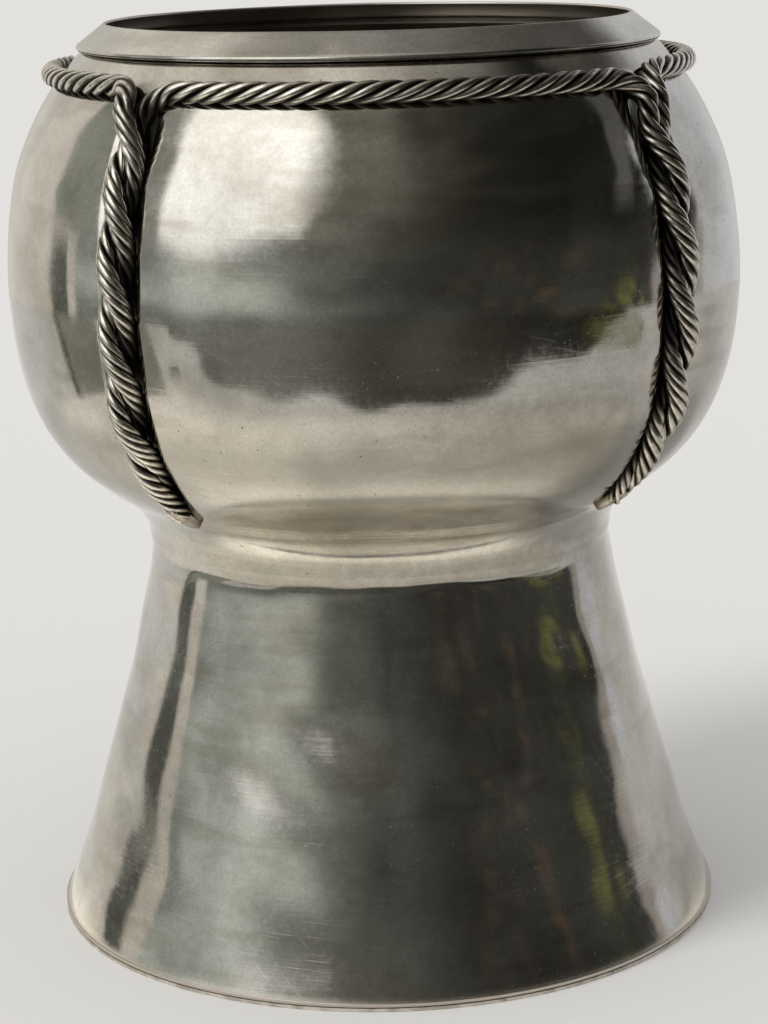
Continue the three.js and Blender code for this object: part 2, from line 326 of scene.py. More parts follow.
def make_skirt():
    compass = even_columns(SKIRT_COLUMNS)
    outside = resample(SKIRT_OUTLINE, 130)
    inside = resample(offset(SKIRT_OUTLINE, -WALL), 60)[::-1]
    spigot = NECK_RADIUS - WALL - 0.3 * MM
    flange_top = SKIRT_FLOOR + FLANGE
    foot = np.array([[FOOT_RADIUS - 0.05 * MM, SKIRT_FLOOR], [FOOT_RADIUS, SKIRT_FLOOR + 0.05 * MM],
                     [FOOT_RADIUS, flange_top - 0.1 * MM], [FOOT_RADIUS - 0.1 * MM, flange_top]])
    neck = np.array([[spigot, NECK_HEIGHT - 0.15 * MM], [spigot, SKIRT_TOP],
                     [spigot - MM, SKIRT_TOP], [spigot - MM, NECK_HEIGHT - 8 * MM]])
    flange_end = np.array([[FOOT_RADIUS - 8 * MM, SKIRT_FLOOR]])
    outline = np.vstack([foot, outside, neck, inside[10:], flange_end])
    radius, height = (all_round(outline[:, i], compass) for i in (0, 1))
    fade = smoothstep(height, 3 * MM, 16 * MM) * below(height, 96 * MM, 104.4 * MM)
    radius = radius + fade * skirt_dents(compass[:, None], height)
    skirt = new_lathe("flaring_skirt", compass, radius, height)
    edge = np.zeros(len(outline))
    edge[:len(foot)] = 1
    edge[len(foot):len(foot) + 3] = [0.7, 0.3, 0.1]
    inner = rows_from(len(foot) + len(outside) + 1, outline)
    set_attribute(skirt, "edge", all_round(edge, compass))
    set_attribute(skirt, "inside", all_round(inner, compass))
    set_attribute(skirt, "patina_and_shade", np.zeros(radius.shape))
    return skirt


# ---------------------------------------------------------------- collar and base plate
TURNED_COLUMNS = 300


def make_collar():
    compass = even_columns(TURNED_COLUMNS)
    roll = arc(COLLAR_LOW, 0.75 * MM, COLLAR_SLOPE + 90, COLLAR_SLOPE + 270, 16)
    lip = arc(COLLAR_LIP, 0.5 * MM, COLLAR_SLOPE - 90, COLLAR_SLOPE + 90, 12)
    up = np.linspace(0, 1, 10)[1:-1, None]
    outline = np.vstack([roll, lerp(roll[-1], lip[0], up), lip, lerp(lip[-1], roll[0], up)])
    radius, height = (all_round(outline[:, i], compass) for i in (0, 1))
    share = smoothstep(height, COLLAR_LOW[1], LIP_HEIGHT)
    wobble = smooth_noise(31, compass[:, None], 0 * height, 0.16 * MM, reach=5)
    ripple = smooth_noise(32, compass[:, None], 0 * height, 0.03 * MM, reach=30)
    radius = radius + share * (wobble + ripple)
    height = height - np.abs(share * smooth_noise(33, compass[:, None], 0 * height, 0.12 * MM, reach=4))
    collar = new_lathe("rolled_collar", compass, radius, height)
    lip_start = len(roll) + len(up)
    inner = rows_from(lip_start + 9, outline)
    worn_lip = np.exp(-((np.arange(len(outline)) - (lip_start + 5)) / 3.0) ** 2)
    # Painted shade under the roll, where the collar meets the bowl.
    dark_roll = np.zeros(len(outline))
    dark_roll[:3] = 0.3
    set_attribute(collar, "inside", all_round(inner, compass))
    set_attribute(collar, "edge", all_round(worn_lip, compass))
    set_attribute(collar, "patina_and_shade", all_round(dark_roll, compass))
    return collar


def make_base_plate():
    compass = even_columns(TURNED_COLUMNS)
    rest = FOOT_RADIUS - REST_RING
    raised = PLATE_TOP - FLANGE
    middle = 4 * MM
    under = [(r, raised) for r in np.linspace(middle, rest - 3 * MM, 14)]
    top = [(r, PLATE_TOP) for r in np.linspace(rest - 3.6 * MM, middle, 14)]
    rim = [(rest, 0), (rest + 0.4 * MM, 0), (FOOT_RADIUS - 0.15 * MM, 0), (FOOT_RADIUS, 0.12 * MM),
           (FOOT_RADIUS, FLANGE - 0.05 * MM), (FOOT_RADIUS - 0.05 * MM, FLANGE), (rest - 0.6 * MM, FLANGE)]
    outline = np.array(under + rim + top)
    radius, height = (all_round(outline[:, i], compass) for i in (0, 1))
    columns, rows = radius.shape
    faces = ring_faces(columns, rows, close_rows=False)
    faces.append([i * rows for i in range(columns)][::-1])
    faces.append([i * rows + rows - 1 for i in range(columns)])
    plate = new_piece("base_disc", lathe_points(compass, radius, height), faces)
    upper = rows_from(len(under) + len(rim) - 1, outline)
    set_attribute(plate, "inside", all_round(upper, compass))
    set_attribute(plate, "edge", all_round(1 - upper, compass))
    set_attribute(plate, "patina_and_shade", np.zeros(radius.shape))
    return plate


# ---------------------------------------------------------------- ropes
PAIR_OFFSET = PAIR_RADIUS / 2
RING_RADIUS = ROPE_RADIUS - WIRE_RADIUS
PAIR_HALF_THICKNESS = PAIR_RADIUS / 2 - WIRE_RADIUS
PAIR_HALF_WIDTH = math.sqrt(2 * RING_RADIUS ** 2 - PAIR_HALF_THICKNESS ** 2)
RING_LIFT = {"front": 0.5, "right": 0.7, "back": 0.7, "left": 0.7}          # in rope radii, off the surface
RING_DROP = {"front": -0.1 * MM, "right": -0.9 * MM, "back": 0.2 * MM, "left": -0.8 * MM}
WIRE_SIDES = 12
TIP_SIDES = 16
OUTLINE_TANGENTS = tangents(BOWL_OUTLINE)


def bowl_place(compass, sideways, down, lift):
    """A place down the bowl's outline, beside a compass direction and off the surface, and its directions."""
    radius, height = (on_outline(values, down) for values in BOWL_OUTLINE.T)
    up_r, up_z = (on_outline(values, down) for values in OUTLINE_TANGENTS.T)
    turned = compass + np.degrees(sideways / radius)
    vertical = np.array([0, 0, 1.0])
    out = outwards(turned) * up_z[..., None] - up_r[..., None] * vertical
    down_dir = -outwards(turned) * up_r[..., None] - up_z[..., None] * vertical
    place = outwards(turned) * radius[..., None] + height[..., None] * vertical + out * lift[..., None]
    return place, out, rightwards(turned), down_dir


def taper(down):
    return lerp(1, TAPER_TO, smoothstep(down, LEG_LENGTH - TAPER_LENGTH, LEG_LENGTH))


def gathered(down):
    return lerp(1, GATHER_TO, smoothstep(down, LEG_LENGTH - GATHER_LENGTH, LEG_LENGTH))


def pair_lift(down):
    half = (PAIR_RADIUS - PAIR_OFFSET) * taper(down) + PAIR_OFFSET * gathered(down)
    sink = 1 - 0.55 * smoothstep(down, LEG_LENGTH - 15 * MM, LEG_LENGTH)
    return half * sink + ROPE_CLEARANCE - groove_depth(0, outline_height(down))


def rope_sections(lobe):
    """Cross-sections of the rope over one lobe: up a groove, round a bend, across, and down again."""
    first = GROOVE_ANGLES[lobe]
    last = first + LOBE_SPANS[lobe]
    bend = BEND_RADIUS + PAIR_OFFSET
    ring_radius = on_outline(BOWL_OUTLINE[:, 0], 0)
    bend_angle = math.degrees(bend / ring_radius)
    ring_lift = ROPE_RADIUS * RING_LIFT[LOBE_NAMES[lobe]]
    drop = RING_DROP[LOBE_NAMES[lobe]]

    leg_steps = int((LEG_LENGTH - BEND_RADIUS) / STATION)
    down = np.linspace(LEG_LENGTH, BEND_RADIUS, leg_steps + 1)
    leg = dict(sideways=0 * down, down=down, lift=pair_lift(down), heading=90 + 0 * down,
               flat=1 + 0 * down, size=taper(down), apart=gathered(down), foot=down / LEG_LENGTH)
    corner_steps = int(bend * math.pi / 2 / STATION)
    part = np.arange(1, corner_steps) / corner_steps
    a = np.radians(90 * part)
    full = 1 + 0 * part
    corner = dict(sideways=bend * (1 - np.cos(a)), down=BEND_RADIUS - bend * np.sin(a) + drop * part,
                  lift=lerp(pair_lift(np.array([BEND_RADIUS]))[0], ring_lift, smoothstep(part, 0, 1)),
                  heading=90 * (1 - part), flat=1 - part, size=full, apart=full, foot=0 * part)
    ring_steps = int(math.radians(last - first - 2 * bend_angle) * ring_radius / STATION)
    across = np.linspace(0, 1, ring_steps + 1)

    def joined(key, ring, sign=1):
        there = np.concatenate([leg[key], corner[key]])
        return np.concatenate([there, ring, sign * there[::-1]])

    zero = 0 * across
    heading = joined("heading", zero, -1)
    turns = []
    for groove in (lobe, (lobe + 1) % 4):
        in_leg = 360 * np.maximum(0, down - PAIR_STARTS[groove]) / PAIR_LAYS[groove]
        turns.append(np.concatenate([in_leg, in_leg[-1] * below(part, 0, 1)]))
    pair_turn = -90 + np.concatenate([-turns[0], zero, turns[1][::-1]])
    over_lobe = lerp(first + bend_angle, last - bend_angle, across)
    each_side = len(leg["down"]) + len(corner["down"])
    compass = np.concatenate([np.full(each_side, first), over_lobe, np.full(each_side, last)])
    flat = joined("flat", zero)
    size = joined("size", 1 + zero)
    down_bowl = joined("down", zero - PAIR_OFFSET + drop)
    lift = joined("lift", zero + ring_lift)
    place, out, right, down_dir = bowl_place(compass, joined("sideways", zero, -1), down_bowl, lift)
    h = np.radians(heading)[:, None]
    side = -np.cos(h) * down_dir - np.sin(h) * right
    turn = np.radians(pair_turn)
    c, s = np.cos(turn)[:, None], np.sin(turn)[:, None]
    first_axis, second_axis = c * out + s * side, c * side - s * out
    centre = place + first_axis * (PAIR_OFFSET * joined("apart", 1 + zero))[:, None]
    run = np.concatenate([[0], np.cumsum(np.linalg.norm(np.diff(centre, axis=0), axis=1))])
    lay = lerp(ROPE_LAY, lerp(*LEG_ROPE_LAYS, joined("foot", zero)), flat)
    wound = 2 * math.pi * np.concatenate([[0], np.cumsum(np.diff(run) / lay[1:])])
    return dict(
        centre=centre, pair_axis=place, out=out, turn=turn, wound=wound, run=run, size=size, flat=flat,
        thickness=first_axis * (size * lerp(RING_RADIUS, PAIR_HALF_THICKNESS, flat))[:, None],
        width=second_axis * (size * lerp(RING_RADIUS, PAIR_HALF_WIDTH, flat))[:, None],
        even=flat * (PAIR_HALF_WIDTH - PAIR_HALF_THICKNESS) / (PAIR_HALF_WIDTH + PAIR_HALF_THICKNESS) / 2,
    )


def unit(vectors):
    return vectors / np.linalg.norm(vectors, axis=-1, keepdims=True)


def tube_faces(sections, sides, inwards=False):
    """Faces of a closed tube; inwards is for sections whose corners run the other way round."""
    faces = []
    for i in range(sections - 1):
        for k in range(sides):
            m = (k + 1) % sides
            faces.append((i * sides + k, i * sides + m, (i + 1) * sides + m, (i + 1) * sides + k))
    faces.append(list(range(sides))[::-1])
    faces.append([(sections - 1) * sides + k for k in range(sides)])
    return [face[::-1] for face in faces] if inwards else faces


def make_wire(name, rope, share, seed):
    rng = np.random.RandomState(seed)
    loose = LOOSENESS * np.sin(rope["run"] / MM * rng.uniform(0.05, 0.09) + rng.uniform(0, ANY_PHASE))
    angle = rope["wound"] + 2 * math.pi * share - rope["turn"] + loose
    even = angle - rope["even"] * np.sin(2 * angle)
    axis = rope["centre"] + rope["thickness"] * np.cos(even)[:, None] + rope["width"] * np.sin(even)[:, None]
    along = unit(np.gradient(axis, axis=0))
    from_rope = unit(axis - rope["centre"])
    normal = unit(from_rope - along * np.sum(from_rope * along, axis=1)[:, None])
    across = np.cross(along, normal)
    spin = np.radians(even_columns(WIRE_SIDES))
    ring = normal[:, None] * np.cos(spin)[None, :, None] + across[:, None] * np.sin(spin)[None, :, None]
    thick = WIRE_RADIUS * rope["size"] * rng.uniform(0.97, 1.02)
    thick = thick * (1 + 0.03 * np.sin(rope["run"] / MM * rng.uniform(0.2, 0.4) + rng.uniform(0, ANY_PHASE)))
    points = (axis[:, None] + ring * thick[:, None, None]).reshape(-1, 3)
    wire = new_piece(name, points, tube_faces(len(axis), WIRE_SIDES), sharp=60)
    # This share is high on the wires' outer crests, which are rubbed bright, and low in the crevices between
    # wires, which carry patina. It is also lowered as painted shade on the sides of the wires that face the
    # bowl, and in the legs on the rope that lies under the other.
    crest = np.cos(spin)[None, :] * np.ones((len(axis), 1))
    facing = np.sum(ring * rope["out"][:, None], axis=-1)
    from_pair = np.sum((axis - rope["pair_axis"]) * rope["out"], axis=1) / PAIR_RADIUS
    in_leg = rope["flat"][:, None]
    shown = lerp(1, smoothstep(from_pair, -0.5, 0.35)[:, None], in_leg)
    rub_and_shade = smoothstep(crest, 0.2, 0.95) * smoothstep(facing, -0.8, 0.25) * shown
    set_attribute(wire, "rub_and_shade", rub_and_shade)
    return wire


# ---------------------------------------------------------------- rope tips
def make_tip(name, compass):
    """A flat tab of solder in which the wire ends of one groove are gathered."""
    down = np.array([-4, -2, 0, 2, 4, 5.2, 5.5]) * MM + LEG_LENGTH
    half_width = np.array([1.7, 2.1, 2.3, 2.3, 2.25, 2.2, 2.05]) * MM
    half_thick = np.array([1.4, 1.5, 1.4, 1.25, 1.1, 1.0, 0.8]) * MM
    place, out, right, _ = bowl_place(compass + 0 * down, 0 * down, down, 0.6 * half_thick)
    spin = np.radians(even_columns(TIP_SIDES))
    squared = 0.45
    cx = np.sign(np.cos(spin)) * np.abs(np.cos(spin)) ** squared
    cy = np.sign(np.sin(spin)) * np.abs(np.sin(spin)) ** squared
    points = (place[:, None] + right[:, None] * (half_width[:, None] * cx)[..., None]
              + out[:, None] * (half_thick[:, None] * cy)[..., None]).reshape(-1, 3)
    faces = tube_faces(len(down), TIP_SIDES, inwards=True)
    return new_piece(name, points, faces, sharp=45)


# ---------------------------------------------------------------- materials
def add(tree, kind, inputs=(), output=0, **settings):
    """Add a shader node, set or link its inputs, and give back one of its outputs."""
    node = tree.nodes.new("ShaderNode" + kind)
    for key, value in settings.items():
        setattr(node, key, value)
    for key, value in dict(inputs).items():
        if isinstance(value, bpy.types.NodeSocket):
            tree.links.new(value, node.inputs[key])
        else:
            node.inputs[key].default_value = value
    return node.outputs[output]


def rgba(colour):
    """A colour socket's value from three numbers; what is already a socket is left as it is."""
    return (*colour, 1) if isinstance(colour, tuple) else colour


def noise(tree, scale, detail=3, stretch=(1, 1, 1), turn=(0, 0, 0), seed=0):
    """Noise in the object's own coordinates; scale counts features in a metre."""
    place = add(tree, "TexCoord", output="Object")
    turns = [math.radians(a) for a in turn]
    shrink = [1 / s for s in stretch]
    inputs = {"Vector": place, "Scale": shrink, "Rotation": turns, "Location": (seed, 0, seed)}
    place = add(tree, "Mapping", inputs, vector_type="TEXTURE")
    return add(tree, "TexNoise", {"Vector": place, "Scale": scale, "Detail": detail}, output="Fac")


def step(tree, value, low, high, out_low=0.0, out_high=1.0):
    ends = {"Value": value, "From Min": low, "From Max": high, "To Min": out_low, "To Max": out_high}
    return add(tree, "MapRange", ends, interpolation_type="SMOOTHSTEP")


def times(tree, a, b):
    return add(tree, "Math", {0: a, 1: b}, operation="MULTIPLY")


def plus(tree, a, b):
    return add(tree, "Math", {0: a, 1: b}, operation="ADD")


def larger(tree, a, b):
    return add(tree, "Math", {0: a, 1: b}, operation="MAXIMUM")


def mix(tree, share, a, b):
    return add(tree, "Mix", {"Factor": share, 6: rgba(a), 7: rgba(b)}, output=2, data_type="RGBA")


def blend(tree, share, a, b):
    return add(tree, "Mix", {"Factor": share, 2: a, 3: b}, output=0, data_type="FLOAT")


def attribute(tree, name):
    return add(tree, "Attribute", output="Fac", attribute_name=name)


def bump(tree, height, distance, strength=1.0, normal=None):
    inputs = {"Height": height, "Distance": distance, "Strength": strength}
    if normal is not None:
        inputs["Normal"] = normal
    return add(tree, "Bump", inputs, output="Normal")


def finish_material(material, colour, roughness, normal, metallic=1.0):
    tree = material.node_tree
    shader = tree.nodes["Principled BSDF"]
    shader.inputs["Metallic"].default_value = metallic
    tree.links.new(colour, shader.inputs["Base Color"])
    tree.links.new(roughness, shader.inputs["Roughness"])
    tree.links.new(normal, shader.inputs["Normal"])
    return material


def new_material(name):
    material = bpy.data.materials.new(name)
    material.use_nodes = True
    return material, material.node_tree


def scratches(tree, seed, turn, amount):
    """Hair scratches in one direction: the crests of a long-drawn noise, kept in patches."""
    lines = noise(tree, 55, 2, (1, 1, 42), turn, seed)
    patches = noise(tree, 34, 2, seed=seed + 3.7)
    return times(tree, step(tree, lines, 0.66, 0.74, 0, amount), step(tree, patches, 0.44, 0.62))


def pits(tree, scale, share, radius):
    """Small pits: dark dots in some cells of a grid of random points."""
    place = add(tree, "TexCoord", output="Object")
    cells = tree.nodes.new("ShaderNodeTexVoronoi")
    cells.inputs["Scale"].default_value = scale
    tree.links.new(place, cells.inputs["Vector"])
    pick = add(tree, "SeparateColor", {"Color": cells.outputs["Color"]}, output="Red")
    clusters = noise(tree, 16, 2, seed=5.1)
    chosen = times(tree, step(tree, pick, 1 - share, 1 - 0.8 * share), step(tree, clusters, 0.42, 0.62))
    dot = step(tree, cells.outputs["Distance"], radius * 0.5, radius, 1, 0)
    return times(tree, chosen, dot)


def pewter(name, dark, light, roughness, pit_share):
    material, tree = new_material(name)
    clouds = noise(tree, 13, 4)
    blotches = noise(tree, 75, 5, seed=2.3)
    specks = noise(tree, 420, 3, seed=7.7)
    small_tone = plus(tree, times(tree, blotches, 0.35), times(tree, specks, 0.15))
    tone = plus(tree, times(tree, clouds, 0.5), small_tone)
    colour = mix(tree, step(tree, tone, 0.36, 0.62), dark, light)

    smear = times(tree, step(tree, noise(tree, 28, 5, (1, 1, 6), seed=8.8), 0.52, 0.7), 0.4)
    colour = mix(tree, smear, colour, (0.30, 0.265, 0.20))
    stain = times(tree, step(tree, noise(tree, 26, 6, seed=11.3), 0.52, 0.68), 0.5)
    colour = mix(tree, stain, colour, (0.30, 0.285, 0.25))
    dull = times(tree, attribute(tree, "dull"), 0.55)
    colour = mix(tree, dull, colour, (0.25, 0.235, 0.20))
    grain = step(tree, noise(tree, 1400, 2, seed=13.1), 0.35, 0.65, 0.16, 0)
    colour = mix(tree, grain, colour, (0.20, 0.185, 0.16))
    turned = noise(tree, 3, 3, (1, 1, 420), seed=1.7)
    hair = plus(tree, scratches(tree, 0.4, (6, 0, 0), 0.6), scratches(tree, 3.1, (38, 14, 20), 0.6))
    hair = plus(tree, hair, scratches(tree, 6.6, (-52, 21, -30), 0.5))
    dots = larger(tree, pits(tree, 330, pit_share, 0.12), pits(tree, 900, pit_share * 0.6, 0.17))
    colour = mix(tree, times(tree, dots, 0.6), colour, (0.07, 0.062, 0.05))
    colour = mix(tree, times(tree, hair, 0.2), colour, (0.80, 0.78, 0.74))

    # Darkened: patina in the grooves, and painted shade just under the rope ring and under the collar's roll.
    recess = attribute(tree, "patina_and_shade")
    patina_and_shade_share = step(tree, plus(tree, recess, times(tree, blotches, 0.5)), 0.45, 1.0)
    colour = mix(tree, times(tree, patina_and_shade_share, 0.65), colour, (0.20, 0.175, 0.14))
    edge = attribute(tree, "edge")
    colour = mix(tree, times(tree, edge, 0.9), colour, (0.60, 0.55, 0.48))
    inside = attribute(tree, "inside")
    inner = mix(tree, step(tree, clouds, 0.4, 0.62), (0.24, 0.215, 0.18), (0.46, 0.42, 0.365))
    colour = mix(tree, inside, colour, inner)

    haze = noise(tree, 700, 4, seed=9.1)
    rough = step(tree, blotches, 0.3, 0.7, roughness * 0.75, roughness * 1.3)
    rough = plus(tree, rough, step(tree, haze, 0.4, 0.8, 0, 0.07))
    rough = plus(tree, rough, plus(tree, times(tree, hair, 0.08), times(tree, dots, 0.4)))
    rough = blend(tree, times(tree, patina_and_shade_share, 0.85), rough, 0.46)
    rough = blend(tree, dull, rough, 0.24)
    rough = blend(tree, edge, rough, 0.45)
    rough = blend(tree, inside, rough, 0.5)

    normal = bump(tree, turned, 0.00003, 0.25)
    normal = bump(tree, noise(tree, 38, 3, seed=4.2), 0.0010, 0.12, normal)
    normal = bump(tree, plus(tree, hair, times(tree, dots, 3)), -0.00003, 0.15, normal)
    return finish_material(material, colour, rough, normal)


def worn_edge():
    material, tree = new_material("worn_edge")
    grain = noise(tree, 260, 5)
    clouds = noise(tree, 30, 3, seed=3.3)
    colour = mix(tree, step(tree, grain, 0.35, 0.65), (0.47, 0.42, 0.36), (0.70, 0.65, 0.58))
    dots = pits(tree, 700, 0.16, 0.4)
    colour = mix(tree, times(tree, dots, 0.8), colour, (0.12, 0.10, 0.08))
    rough = step(tree, clouds, 0.3, 0.7, 0.42, 0.58)
    normal = bump(tree, plus(tree, grain, times(tree, dots, -1.5)), 0.00008, 0.6)
    return finish_material(material, colour, rough, normal, metallic=0.75)


def rope_wire():
    material, tree = new_material("rope_wire")
    grain = noise(tree, 700, 4)
    clouds = noise(tree, 60, 3, seed=1.2)
    # Wires are bright where rubbed, and dark with patina in their crevices and with painted shade where they
    # face the bowl or lie under the other rope.
    rub_and_shade = plus(tree, attribute(tree, "rub_and_shade"), times(tree, plus(tree, clouds, -0.5), 0.7))
    rub_and_shade = step(tree, rub_and_shade, 0.2, 1.1)
    bright = mix(tree, step(tree, grain, 0.35, 0.65), (0.50, 0.462, 0.395), (0.70, 0.655, 0.575))
    colour = mix(tree, rub_and_shade, (0.045, 0.040, 0.032), bright)
    rough = blend(tree, rub_and_shade, 0.45, 0.18)
    normal = bump(tree, grain, 0.00004, 0.5)
    return finish_material(material, colour, rough, normal)


def solder():
    material, tree = new_material("solder")
    grain = noise(tree, 900, 4)
    clouds = noise(tree, 220, 3, seed=1.9)
    colour = mix(tree, step(tree, clouds, 0.35, 0.65), (0.25, 0.22, 0.18), (0.47, 0.43, 0.365))
    rough = step(tree, grain, 0.3, 0.7, 0.28, 0.42)
    normal = bump(tree, plus(tree, grain, clouds), 0.00012, 0.6)
    return finish_material(material, colour, rough, normal)


# ---------------------------------------------------------------- the object
def declare(piece, material, slot, *nodes):
    piece.data.materials.append(material)
    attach(piece, "root")
    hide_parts(*nodes)


shell_metal = pewter("pewter", dark=(0.40, 0.375, 0.325), light=(0.61, 0.58, 0.53),
                     roughness=0.085, pit_share=0.45)
skirt_metal = pewter("pewter_skirt", dark=(0.40, 0.375, 0.33), light=(0.60, 0.575, 0.525),
                     roughness=0.075, pit_share=0.35)
collar_metal = pewter("pewter_collar", dark=(0.46, 0.44, 0.40), light=(0.61, 0.585, 0.54),
                      roughness=0.15, pit_share=0.2)
edge_metal = worn_edge()
wire_metal = rope_wire()
tip_metal = solder()

declare(make_bowl(), shell_metal, "shell", "bowl")
declare(make_skirt(), skirt_metal, "base", "skirt")
declare(make_collar(), collar_metal, "collar", "rim_collar")
declare(make_base_plate(), edge_metal, "base", "base_plate")
for lobe, side in enumerate(LOBE_NAMES):
    rope = rope_sections(lobe)
    for k in range(WIRES_PER_ROPE):
        strand = make_wire(f"strand_{side}_{k + 1}", rope, k / WIRES_PER_ROPE, seed=100 + 10 * lobe + k)
        declare(strand, wire_metal, "wire", f"wire_{side}_{k + 1}")
for groove, corner in enumerate(GROOVE_NAMES):
    declare(make_tip(f"solder_tip_{corner}", GROOVE_ANGLES[groove]), tip_metal, "tip", f"rope_tip_{corner}")


# ---------------------------------------------------------------- camera
CAMERA_COMPASS = -5.5
CAMERA_DISTANCE = 718 * MM
CAMERA_HEIGHT = 276.7 * MM
CAMERA_PITCH = 13.32                       # in degrees, downwards
CAMERA_YAW = 0.09
CAMERA_ROLL = -1.39
CAMERA_LENS = 95.26


def make_camera():
    pitch, yaw, roll = (math.radians(a) for a in (CAMERA_PITCH, CAMERA_YAW, CAMERA_ROLL))
    towards = Vector((math.sin(yaw) * math.cos(pitch), math.cos(yaw) * math.cos(pitch), -math.sin(pitch)))
    level = Vector((math.cos(yaw), -math.sin(yaw), 0))
    upward = level.cross(towards)
    right = math.cos(roll) * level + math.sin(roll) * upward
    top = math.cos(roll) * upward - math.sin(roll) * level
    frame_of_view = Matrix((right, top, -towards)).transposed().to_4x4()
    place = Matrix.Translation((0, -CAMERA_DISTANCE, CAMERA_HEIGHT))
    data = bpy.data.cameras.new("camera")
    data.lens = CAMERA_LENS
    camera = bpy.data.objects.new("camera", data)
    bpy.context.collection.objects.link(camera)
    camera.matrix_world = Matrix.Rotation(math.radians(CAMERA_COMPASS), 4, "Z") @ place @ frame_of_view
    bpy.context.scene.camera = camera


# ---------------------------------------------------------------- what the metal mirrors
# The studio is described as the camera sees it: azimuth 0 is behind the camera, -90 to its left and 180
# beyond the bucket. The cards are painted with soft patches of light and dark, and only reflections see them.
# Colours are light, in linear red, green and blue.
CARD_RADIUS = 1.12
CARD_CENTRE = 0.12
FLOOR_CARD_HEIGHT = 0.0012
FLOOR_CARD_START = 0.094                   # just outside the foot
FLOOR_REACH = 30

BLACK = (0, 0, 0)
PALE_WALL = (0.85, 0.82, 0.755)
PALE_WALL_TO_RIGHT = (-0.18, -0.13, -0.02)  # added to the pale wall at the far right
SHADED_WALL = (0.42, 0.41, 0.38)
CEILING = (1.02, 0.98, 0.90)
WINDOW = (0.975, 0.985, 0.98)
WINDOW_FRINGE = (0.33, 0.32, 0.28)
HAZE = (1, 1, 0.9)
COOLER = (-0.03, 0.01, 0.08)               # change of the room's light near the horizon
RIGHT_BAND = (0.15, 0.15, 0.147)
LEFT_BAND = (0.36, 0.375, 0.34)
LEFT_STRIP = (0.15, 0.16, 0.145)
LEAVES = (0.29, 0.30, 0.09)
TRUNKS = (0.16, 0.115, 0.08)
RIGHT_STRIP = (0.40, 0.36, 0.325)
BOX = (0.26, 0.265, 0.23)
LIT_FLOOR = (1.18, 1.13, 1.03)
FLOOR_LINE = (0.15, 0.15, 0.13)
FLOOR_BEYOND_LINE = (0.34, 0.35, 0.31)
FLOOR_LEAVES = (0.20, 0.21, 0.08)
CLOTH = (1.0, 0.95, 0.845)
ROOM_TONES = {                             # colour of the dim room at each azimuth
    -110: (0.42, 0.435, 0.385),
    -60: (0.42, 0.435, 0.385),
    -30: (0.37, 0.375, 0.33),
    0: (0.125, 0.124, 0.108),
    30: (0.055, 0.053, 0.045),
    60: (0.026, 0.026, 0.022),
    100: (0.018, 0.018, 0.016),
}


def soft(value, low, high, edge):
    """1 between low and high, falling off over edge on both sides."""
    half = edge / 2
    return smoothstep(value, low - half, low + half) * below(value, high - half, high + half)


def tinted(share, colour):
    return share[..., None] * np.array(colour)


def painted(under, share, colour):
    return under + (np.array(colour) - under) * np.clip(share, 0, 1)[..., None]


def field(seed, azimuth, other, reach):
    return smooth_noise(seed, azimuth, other, 1.0, reach=reach)


def room_tone(azimuth):
    """The dim side of the room, behind the camera: lighter on the left, dark on the right."""
    tones = np.array(list(ROOM_TONES.values()))
    return np.stack([np.interp(azimuth, list(ROOM_TONES), tones[:, i]) for i in range(3)], -1)


def pale_wall(azimuth, elevation, sideways):
    """The bright surroundings, dimmer and cooler to the right, and shaded straight beyond the bucket."""
    wall = PALE_WALL + tinted(np.clip(sideways + 0.3, 0, 1), PALE_WALL_TO_RIGHT)
    shade = 0.55 * soft(np.abs(azimuth), 158, 200, 16) * soft(elevation, -20, 42, 14)
    return painted(wall, shade, SHADED_WALL)


def add_ceiling(glow, azimuth, elevation, sideways, wander):
    """What is overhead: bright on the left and dim on the right, before and beyond the bucket."""
    away = -np.cos(np.radians(azimuth)) * np.cos(np.radians(elevation))
    place = sideways + 0.02 * wander
    before = np.interp(place, [-0.2, -0.08, 0.1, 0.28, 0.45], [1.0, 0.85, 0.55, 0.34, 0.22])
    beyond = np.interp(place, [-0.42, -0.3, 0, 0.42], [0.95, 0.6, 0.27, 0.10])
    overhead = lerp(before, beyond, smoothstep(away, -0.06, 0.12))
    lowest = lerp(52, 36.5, smoothstep(away, -0.1, 0.5))
    above = smoothstep(elevation, lowest - 5, lowest + 5)
    return glow + (tinted(overhead, CEILING) - glow) * above[..., None]


def room_share(azimuth, elevation, wander, right_end):
    """1 where the dim room shows, with wavy edges on the left and on the right."""
    left_start = lerp(-92, -88.5, smoothstep(elevation, 3, 8)) + 1.2 * field(55, 0 * azimuth, elevation, 3)
    from_left = smoothstep(azimuth + 1.2 * wander - left_start, -1, 1)
    to_right = below(azimuth + 2 * wander - right_end, 0, 3)
    return from_left * to_right * below(elevation, 58, 72)


def add_room(glow, azimuth, elevation, room):
    """The dim room behind the camera, mottled, and lighter and darker in places near the horizon."""
    mottle = 1 + 0.22 * field(52, azimuth, np.radians(elevation) * 0.4, 12)
    glow = painted(glow, room, BLACK) + (room * mottle)[..., None] * room_tone(azimuth)
    lit = 0.8 * smoothstep(-azimuth, 22, 38) - 0.25 * soft(azimuth, -23, 2, 10)
    lit = lit * soft(elevation, -1.5, 7.5, 6)
    dim = 0.53 * soft(azimuth, -96, -62, 20) * soft(elevation, -3, 12, 4)
    dim = dim + 0.1 * soft(azimuth, -70, -36, 16) * soft(elevation, 2, 9, 4)
    dim = dim + 0.4 * soft(azimuth, -75, 8, 24) * below(elevation, -4, -2)
    glow = glow * (1 + (lit - dim) * room)[..., None]
    haze = 0.034 * smoothstep(azimuth, 22, 66) * below(elevation, 3, 11)
    glow = glow + tinted(haze * room, HAZE)
    return glow * (1 + tinted(room * below(elevation, 9, 16), COOLER))


